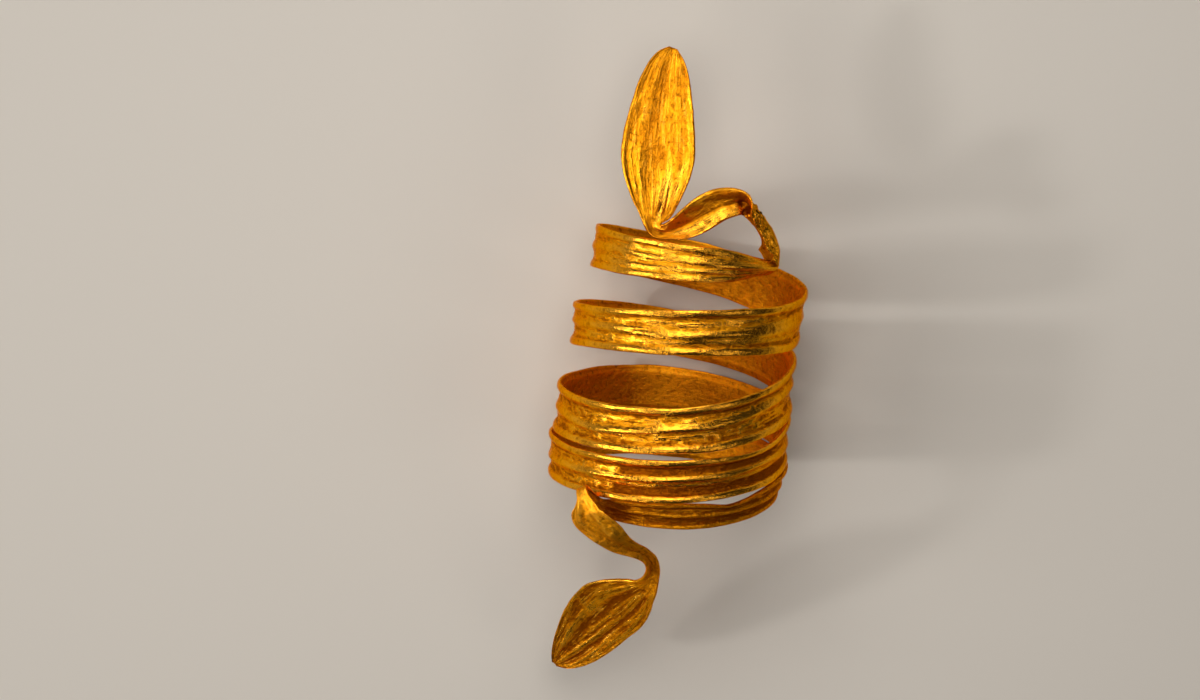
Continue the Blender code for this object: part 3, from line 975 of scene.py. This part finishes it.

# %% [markdown]
# ## Where the gold gets dark painted shade and where it is rubbed pale
#
# The hollows don't tell all. The inside and the upper leaf are more even in tone, punched grooves and
# the pits of the knot are darkened as painted shade, the last turn gets the most painted shade, and
# two spots of the upper end are rubbed smooth and painted pale as a highlight. Correcting the hollows
# here keeps the material itself the same all over.

# %% Correct the hollows
BROAD_SHARE = 0.5
# How much painted shade darkens the last turn.
LAST_TURN_SHADE = 1.1
LAST_TURN_SPAN = (1395.0, 1450.0)
INSIDE_SHARE = 0.3
UPPER_LEAF_SHARE = 0.35
LOWER_LEAF_SHARE = 0.85
STEM_SHARE = 0.6
# Two spots that are made smooth and painted pale, as a painted highlight.
POLISHED_HIGHLIGHTS = ((12.0, 1.7, 0.35, 0.4), (18.6, 2.4, -0.5, 0.4))
POLISH_AND_HIGHLIGHT = 1.3


def polished_highlights(travel, t):
    """The two spots of the upper end that are rubbed smooth and painted pale as a highlight: at the
    leaf's base and on the stem.
    """
    share = np.zeros(np.broadcast(travel, t).shape)
    for at, spread, across, width in POLISHED_HIGHLIGHTS:
        share += np.exp(-((travel - at) / spread) ** 2 - ((t - across) / width) ** 2)
    return share


inside = np.arange(ACROSS.size)[None, :] >= OUTER_POINTS
on_coil, angle, which = (strip[:, index, None] for index in (ON_COIL, ANGLE, WHICH_LEAF))
on_coil = np.clip(on_coil, 0.0, 1.0)
upper_leaf = np.clip(which * UPPER_LEAF, 0.0, 1.0)
lower_leaf = np.clip(which * LOWER_LEAF, 0.0, 1.0)
on_stem = (1 - on_coil) * (1 - np.clip(np.abs(which), 0.0, 1.0))
# Hollows get dirt and painted shade, and ridges get wear and a painted highlight, from one mark.
dirt_wear_and_painted_light = BROAD_SHARE * broad + (1 - BROAD_SHARE) * fine
dirt_wear_and_painted_light = dirt_wear_and_painted_light * (1 - (1 - UPPER_LEAF_SHARE) * upper_leaf) * (1 - (1 - LOWER_LEAF_SHARE) * lower_leaf)
dirt_wear_and_painted_light = dirt_wear_and_painted_light * (1 - (1 - INSIDE_SHARE) * on_coil * inside)
dirt_wear_and_painted_light = dirt_wear_and_painted_light * (1 - (1 - STEM_SHARE) * on_stem)
# Punched grooves darkened further as painted shade.
dirt_wear_and_painted_light = dirt_wear_and_painted_light + PUNCHED_SMOOTHING_AND_SHADE * punched_grooves(angle, ACROSS[None, :]) * on_coil * ~inside
# The polished spots get a smoother surface and a painted highlight.
dirt_wear_and_painted_light = dirt_wear_and_painted_light - POLISH_AND_HIGHLIGHT * polished_highlights(travelled[:, None], ACROSS[None, :]) * inside
# The pits of the knot darkened as painted shade.
dirt_wear_and_painted_light = dirt_wear_and_painted_light + KNOT_PIT_SHADE * knot_pits(points)
# The last turn darkened as painted shade.
last_turn = smooth_step(*LAST_TURN_SPAN, angle) * on_coil
dirt_wear_and_painted_light = np.clip(dirt_wear_and_painted_light + LAST_TURN_SHADE * last_turn, -1.0, 1.0)
print("share in hollows:", round(float((dirt_wear_and_painted_light > 0.3).mean()), 3))

# %% [markdown]
# ## The surface
#
# The rings are joined into one closed skin of four-sided faces, with a fan of triangles at each tip.
# The result replaces the plain solid in the picture and rides where the solid is.

# %% Build the skin
STREAKED_SHARE = 0.35


def skin_marks(points):
    """What the gold needs to know of each point: its face, its dirt, wear and painted light, and its
    place on the strip.
    """
    shape = points.shape[:2]
    marks = {
        "dirt_wear_and_painted_light": dirt_wear_and_painted_light,
        "inside": inside,
        "along": travelled[:, None],
        "across": (inside * 2 + ACROSS) * STRIP_WIDTH / 2,
        "leaf": STREAKED_SHARE * upper_leaf + lower_leaf,
        "smooth": (1 - on_coil) * (travelled[:, None] < travelled[-1] / 2),
    }
    return {name: np.broadcast_to(values, shape).astype(float) for name, values in marks.items()}


def build_skin(points, marks):
    """One mesh through all the rings, in metres, kept within the solid's own box, with its marks."""
    rings, count = points.shape[:2]
    placed = (points + np.array(COIL_ORIGIN)) * MM
    placed = np.clip(placed, np.array(ring_low), np.array(ring_high))
    vertices = placed.reshape(-1, 3)
    index = np.arange(rings * count).reshape(rings, count)
    beside = np.roll(index, -1, axis=1)
    quads = np.stack([index[:-1], beside[:-1], beside[1:], index[1:]], axis=-1).reshape(-1, 4)
    centres = np.stack([placed[0].mean(axis=0), placed[-1].mean(axis=0)])
    first, last = len(vertices), len(vertices) + 1
    faces = [tuple(quad) for quad in quads.tolist()]
    for corner in range(count):
        after = (corner + 1) % count
        faces.append((int(index[0, after]), int(index[0, corner]), first))
        faces.append((int(index[-1, corner]), int(index[-1, after]), last))
    data = bpy.data.meshes.new("gold_strip")
    data.from_pydata(np.concatenate([vertices, centres]).tolist(), [], faces)
    for name, values in marks.items():
        layer = data.attributes.new(name, "FLOAT", "POINT")
        layer.data.foreach_set("value", np.concatenate([values.ravel(), [0.0, 0.0]]))
    data.shade_smooth()
    skin = bpy.data.objects.new("gold_strip", data)
    bpy.context.scene.collection.objects.link(skin)
    return skin


skin = build_skin(points, skin_marks(points))
triangles = sum(len(face.vertices) - 2 for face in skin.data.polygons)
print("triangles:", triangles)

# %% [markdown]
# ## The gold
#
# Gold's colour is the colour of its reflections, so it goes on the base colour of a fully metallic
# surface. The tone is not flat: hollows are browner and duller, partly dirt and partly painted shade;
# rubbed ridges are paler and smoother, partly wear and partly painted highlight; and clouds of tone lie
# over both. The fine skin left by the hammer is too small for the mesh, so bumps add it: fine lines
# that run along the strip, thin creases in the hollows, and small pits on top, which the rubbing has
# all but taken off the ridges. The creases and pits are also painted darker, as painted shade. On the
# leaves, most of all on the lower one, the same fine lines carry streaks of painted shade and painted
# highlight. The pits are shallower on the upper end.

# %% Helpers for a material
def add_node(tree, kind, **values):
    """A node with its inputs set by name."""
    node = tree.nodes.new(kind)
    for name, value in values.items():
        node.inputs[name.replace("_", " ")].default_value = value
    return node


def read_mark(tree, name):
    """The value of one mark of the skin."""
    node = tree.nodes.new("ShaderNodeAttribute")
    node.attribute_name = name
    return node.outputs["Fac"]


def calculate(tree, operation, first, second=0.0):
    """One sum of two values, each of them a socket or a number."""
    node = tree.nodes.new("ShaderNodeMath")
    node.operation = operation
    for socket, value in zip(node.inputs, (first, second)):
        if isinstance(value, float):
            socket.default_value = value
        else:
            tree.links.new(value, socket)
    return node.outputs["Value"]


def remap(tree, value, spans):
    """Turn values from start to end into values from low to high, where spans holds these four."""
    start, end, low, high = spans
    node = add_node(tree, "ShaderNodeMapRange", From_Min=start, From_Max=end, To_Min=low, To_Max=high)
    tree.links.new(value, node.inputs["Value"])
    return node.outputs["Result"]


def blend(tree, share, first, second):
    """A mix of two colours, of which the second is a fixed one."""
    node = tree.nodes.new("ShaderNodeMix")
    node.data_type = "RGBA"
    node.inputs["B"].default_value = second
    tree.links.new(share, node.inputs["Factor"])
    if isinstance(first, tuple):
        node.inputs["A"].default_value = first
    else:
        tree.links.new(first, node.inputs["A"])
    return node.outputs["Result"]


print("materials so far:", len(bpy.data.materials))

# %% Noise and bumps
STRIP_ROUGHNESS = 0.6
PLACE_ROUGHNESS = 0.62


def strip_noise(tree, shares, detail):
    """Noise that is read along and across the strip, at its own scale in each direction."""
    vector = tree.nodes.new("ShaderNodeCombineXYZ")
    tree.links.new(calculate(tree, "MULTIPLY", read_mark(tree, "along"), shares[0]), vector.inputs["X"])
    tree.links.new(calculate(tree, "MULTIPLY", read_mark(tree, "across"), shares[1]), vector.inputs["Y"])
    noise = add_node(tree, "ShaderNodeTexNoise", Scale=1.0, Detail=detail, Roughness=STRIP_ROUGHNESS)
    tree.links.new(vector.outputs["Vector"], noise.inputs["Vector"])
    return noise.outputs["Fac"]


def place_noise(tree, scale, detail):
    """Noise that is read at the place itself."""
    noise = add_node(tree, "ShaderNodeTexNoise", Scale=scale, Detail=detail, Roughness=PLACE_ROUGHNESS)
    tree.links.new(tree.nodes.new("ShaderNodeTexCoord").outputs["Object"], noise.inputs["Vector"])
    return noise.outputs["Fac"]


def bump(tree, height, strength, distance, before=None):
    """A bump over the bump before it."""
    node = add_node(tree, "ShaderNodeBump", Distance=distance)
    tree.links.new(height, node.inputs["Height"])
    tree.links.new(strength, node.inputs["Strength"])
    if before is not None:
        tree.links.new(before, node.inputs["Normal"])
    return node.outputs["Normal"]


print("roughness of the two noises:", STRIP_ROUGHNESS, PLACE_ROUGHNESS)

# %% Lines, creases, tones
LINES = (0.45, 5.0)
LINE_DETAIL = 3.0
CREASES = (1.1, 2.4)
CREASE_DETAIL = 2.0
CREASE_MIDDLE = 0.5
CREASE_WIDTH = (0.0, 0.04, 1.0, 0.0)
CREASE_IN_DEPTH = (-0.4, 0.3, 0.2, 1.0)
CREASE_INSIDE = (0.0, 1.0, 1.0, 0.3)
CLOUD_SCALE = 420.0
CLOUD_DETAIL = 4.0
GOLD = (0.94, 0.36, 0.007, 1.0)
# A brown for dirt and painted shade, and a pale gold for wear and painted highlights.
GOLD_DIRT_AND_SHADE = (0.30, 0.075, 0.001, 1.0)
GOLD_WORN_AND_HIGHLIGHT = (1.0, 0.46, 0.035, 1.0)
GOLD_CLOUD = (0.84, 0.28, 0.005, 1.0)
CLOUDED = (0.42, 0.68, 0.0, 1.0)
DIRT_AND_SHADE_SPAN = (0.0, 0.8, 0.0, 1.0)
WEAR_AND_HIGHLIGHT_SPAN = (-0.15, -1.0, 0.0, 0.8)
PIT_SHADE_SPAN = (0.48, 0.3, 0.0, 0.8)
SHADE_STREAKS = (0.48, 0.38, 0.0, 0.8)
HIGHLIGHT_STREAKS = (0.54, 0.62, 0.0, 1.0)


def creases(tree, depth):
    """Thin creases, most of them in the hollows of the outer face."""
    away = calculate(tree, "SUBTRACT", strip_noise(tree, CREASES, CREASE_DETAIL), CREASE_MIDDLE)
    crease = remap(tree, calculate(tree, "ABSOLUTE", away), CREASE_WIDTH)
    crease = calculate(tree, "MULTIPLY", crease, remap(tree, depth, CREASE_IN_DEPTH))
    return calculate(tree, "MULTIPLY", crease, remap(tree, read_mark(tree, "inside"), CREASE_INSIDE))


def gold_tone(tree, depth, pits, lines, crease, highlight_streak):
    """Gold with clouds, hollows browned by dirt and painted shade, ridges paled by wear and painted
    highlight, pits and creases darkened as painted shade, and leaves streaked with painted shade and
    highlight.
    """
    clouds = remap(tree, place_noise(tree, CLOUD_SCALE, CLOUD_DETAIL), CLOUDED)
    tone = blend(tree, clouds, GOLD, GOLD_CLOUD)
    # Hollows darkened with dirt and painted shade.
    tone = blend(tree, remap(tree, depth, DIRT_AND_SHADE_SPAN), tone, GOLD_DIRT_AND_SHADE)
    # Ridges paled by wear and a painted highlight.
    tone = blend(tree, remap(tree, depth, WEAR_AND_HIGHLIGHT_SPAN), tone, GOLD_WORN_AND_HIGHLIGHT)
    # Small pits darkened as painted shade.
    tone = blend(tree, remap(tree, pits, PIT_SHADE_SPAN), tone, GOLD_DIRT_AND_SHADE)
    # Thin creases darkened as painted shade.
    tone = blend(tree, crease, tone, GOLD_DIRT_AND_SHADE)
    # Leaf lines carry streaks of painted shade, then streaks of painted highlight.
    streak_shade = remap(tree, lines, SHADE_STREAKS)
    tone = blend(tree, calculate(tree, "MULTIPLY", read_mark(tree, "leaf"), streak_shade), tone, GOLD_DIRT_AND_SHADE)
    return blend(tree, highlight_streak, tone, GOLD_WORN_AND_HIGHLIGHT)


print("gold:", GOLD[:3])

# %% Make the gold
GOLD_AT_EDGE = (1.0, 0.54, 0.06, 1.0)
PIT_SCALE = 2400.0
PIT_DETAIL = 5.0
DULL = (-1.0, 1.0, 0.2, 0.42)
DULLER_INSIDE = 0.08
DULLER_STREAKS = -0.15
DULLER_UPPER_END = -0.05
LINES_ON_LEAF = (0.0, 1.0, 0.45, 1.0)
LINE_BUMP = 0.00014
CREASE_BUMP = 0.00006
PIT_BUMP = 0.0002
BUMPS_BY_DEPTH = (-0.7, 0.3, 0.25, 0.95)
CALM_UPPER_END = (0.0, 1.0, 1.0, 0.3)


def gold_dullness(tree, depth, highlight_streak):
    """Duller in the hollows and inside, brighter on the ridges, the streaks and the upper end."""
    dull = remap(tree, depth, DULL)
    for amount, share in ((read_mark(tree, "inside"), DULLER_INSIDE), (highlight_streak, DULLER_STREAKS),
                          (read_mark(tree, "smooth"), DULLER_UPPER_END)):
        dull = calculate(tree, "ADD", dull, calculate(tree, "MULTIPLY", amount, share))
    return dull


def gold_bumps(tree, depth, pits, lines, crease):
    """Fine lines, then creases, then pits, of which little is left on the rubbed ridges."""
    lined = bump(tree, lines, remap(tree, read_mark(tree, "leaf"), LINES_ON_LEAF), LINE_BUMP)
    sunk = calculate(tree, "MULTIPLY", crease, -1.0)
    left = remap(tree, depth, BUMPS_BY_DEPTH)
    creased = bump(tree, sunk, left, CREASE_BUMP, lined)
    calm = remap(tree, read_mark(tree, "smooth"), CALM_UPPER_END)
    return bump(tree, pits, calculate(tree, "MULTIPLY", left, calm), PIT_BUMP, creased)


def gold():
    """Hammered gold with hollows browned by dirt and painted shade, and ridges paled by wear and painted
    highlight.
    """
    material = bpy.data.materials.new("hammered_gold")
    material.use_nodes = True
    tree = material.node_tree
    shader = tree.nodes["Principled BSDF"]
    shader.inputs["Metallic"].default_value = 1.0
    shader.inputs["Specular Tint"].default_value = GOLD_AT_EDGE
    depth = read_mark(tree, "dirt_wear_and_painted_light")
    pits = place_noise(tree, PIT_SCALE, PIT_DETAIL)
    lines = strip_noise(tree, LINES, LINE_DETAIL)
    crease = creases(tree, depth)
    # Pale streaks along the leaf lines, painted as a highlight.
    highlight_streak = calculate(tree, "MULTIPLY", read_mark(tree, "leaf"), remap(tree, lines, HIGHLIGHT_STREAKS))
    tone = gold_tone(tree, depth, pits, lines, crease, highlight_streak)
    tree.links.new(tone, shader.inputs["Base Color"])
    tree.links.new(gold_dullness(tree, depth, highlight_streak), shader.inputs["Roughness"])
    tree.links.new(gold_bumps(tree, depth, pits, lines, crease), shader.inputs["Normal"])
    return material


skin.data.materials.append(gold())
print("gold nodes:", len(skin.data.materials[0].node_tree.nodes))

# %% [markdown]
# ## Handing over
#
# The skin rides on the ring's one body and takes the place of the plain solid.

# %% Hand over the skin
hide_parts("spiral_ring")
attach(skin, "root")
